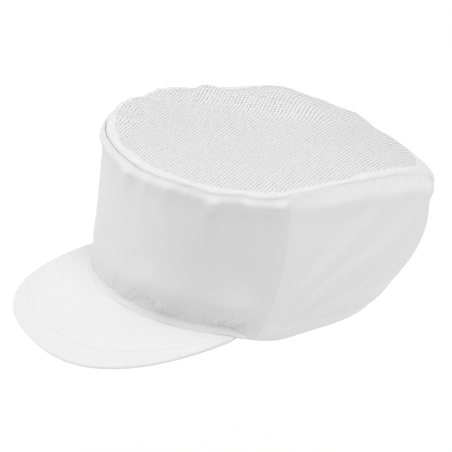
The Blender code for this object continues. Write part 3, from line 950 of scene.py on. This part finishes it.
def rear_strap(look):
    """The webbing that the slider runs along, on an arc across the back."""
    turns = np.radians(spread(90 + STRAP_END, 90 - STRAP_END, 121))
    turn, z = np.meshgrid(turns, spread(STRAP_LOW, STRAP_HIGH, 13))
    rows = points(STRAP_RADIUS * np.cos(turn), STRAP_MID + STRAP_RADIUS * np.sin(turn), z)[:, ::-1]
    strap = thicken(grid_mesh("rear_strap_webbing", rows), STRAP_THICK)
    finish_piece(strap, "cap", "elastic", look, "adjuster_strap")


def camera():
    """The photograph's viewing angle: from the wearer's left front, a little above."""
    data = bpy.data.cameras.new("camera")
    data.lens, data.sensor_width = LENS, SENSOR
    data.shift_x, data.shift_y = LENS_SHIFT
    data.clip_start, data.clip_end = 0.05, 50
    obj = bpy.data.objects.new("camera", data)
    bpy.context.scene.collection.objects.link(obj)
    back = Vector(CAMERA_BACK).normalized()
    rise = Vector(CAMERA_UP).normalized()
    right = rise.cross(back).normalized()
    rise = back.cross(right)
    turn = Matrix((right, rise, back)).transposed().to_4x4()
    obj.matrix_world = Matrix.Translation(Vector(CAMERA_TARGET) * MM + back * CAMERA_FAR) @ turn
    bpy.context.scene.camera = obj


def area_light(name, place, target, size, power_w):
    data = bpy.data.lights.new(name, "AREA")
    data.shape, data.size, data.energy = "SQUARE", size, power_w
    obj = bpy.data.objects.new(name, data)
    obj.location = place
    obj.rotation_euler = (Vector(target) - Vector(place)).to_track_quat("-Z", "Y").to_euler()
    bpy.context.scene.collection.objects.link(obj)


def studio():
    """Soft lights, a pale world and a plain pale floor."""
    scene = bpy.context.scene
    scene.view_settings.view_transform = "Standard"
    world = bpy.data.worlds.new("studio")
    scene.world = world
    world.use_nodes = True
    background = world.node_tree.nodes["Background"]
    background.inputs["Color"].default_value = (1, 1, 1, 1)
    background.inputs["Strength"].default_value = WORLD_STRENGTH
    for light in LIGHTS:
        area_light(*light)
    bpy.ops.mesh.primitive_plane_add(size=FLOOR_SIZE, location=(0, 0, FLOOR_Z))
    floor = bpy.context.object
    floor.name = "studio_floor"
    made = bpy.data.materials.new("studio_floor")
    made.use_nodes = True
    shader = made.node_tree.nodes["Principled BSDF"]
    shader.inputs["Base Color"].default_value = (FLOOR_GREY, FLOOR_GREY, FLOOR_GREY, 1)
    shader.inputs["Roughness"].default_value = 0.9
    shader.inputs["Specular IOR Level"].default_value = 0
    shader.inputs["Emission Color"].default_value = (1, 1, 1, 1)
    shader.inputs["Emission Strength"].default_value = FLOOR_GLOW
    floor.data.materials.append(made)


def dress(name, look):
    """Gives a carried-over piece of the frame its procedural material."""
    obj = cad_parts[name]
    obj.data.materials.clear()
    obj.data.materials.append(look)


camera()
studio()

# painted shade: the front panel's twill is darker than the back panels' twill of the same cloth
FRONT_TWILL_WITH_PAINTED_SHADE = twill("front_twill_with_painted_shade", TWILL_PITCH, FRONT_WEAVE_DARK_WITH_PAINTED_SHADE, FRONT_WEAVE_LIGHT_WITH_PAINTED_SHADE)
BACK_TWILL = twill("back_twill", TWILL_PITCH * 0.7, BACK_DARK, WHITE)
MESH_LOOK = open_mesh()
COVER_LOOK = plain_weave("visor_cover_cloth", COVER_WHITE, 0.7, 0.04, 0.97)
TAPE_LOOK = plain_weave("tape_cloth", TAPE_WHITE, 0.9, 0.06, 0.94)
ELASTIC = ribbed("elastic_webbing", ELASTIC_WHITE, 1.1, 0.12)
SHELL_LOOK = moulded("shell_plastic", SHELL_WHITE, 0.38, 0.6)
SLIDER_LOOK = moulded("slider_plastic", SLIDER_WHITE, 0.42, 0.5)
BOARD_LOOK = moulded("board_plastic", BOARD_GREY, 0.5, 0.8)
FOAM_LOOK = foam_cloth()
THREAD = ribbed("sewing_thread", THREAD_WHITE, 0.4, 0.05)
HOOKS, LOOPS = pile("hook_tape", 0.9, 0.5), pile("loop_tape", 0.5, 0.3)

front_panel(FRONT_TWILL_WITH_PAINTED_SHADE)
back_panel(BACK_TWILL, "left", 1)
back_panel(BACK_TWILL, "right", -1)
crown_top(MESH_LOOK)
crown_allowance(TAPE_LOOK)
front_trim(TAPE_LOOK)
visor_layers(COVER_LOOK, BOARD_LOOK)
visor_stitches(THREAD)
wall_stitches("trim_stitches", THREAD, -64, 64, 0.054, 0.55)
wall_stitches("facing_stitches", THREAD, -66, 66, 0.12, -(CLOTH + GAP + 0.55))
inner_linings(TAPE_LOOK, ELASTIC)
foam_pads(FOAM_LOOK)
crown_cushion(FOAM_LOOK)
patches(HOOKS, LOOPS)
rear_strap(ELASTIC)
smooth_shell(SHELL_LOOK)
dress("adjuster_slider", SLIDER_LOOK)
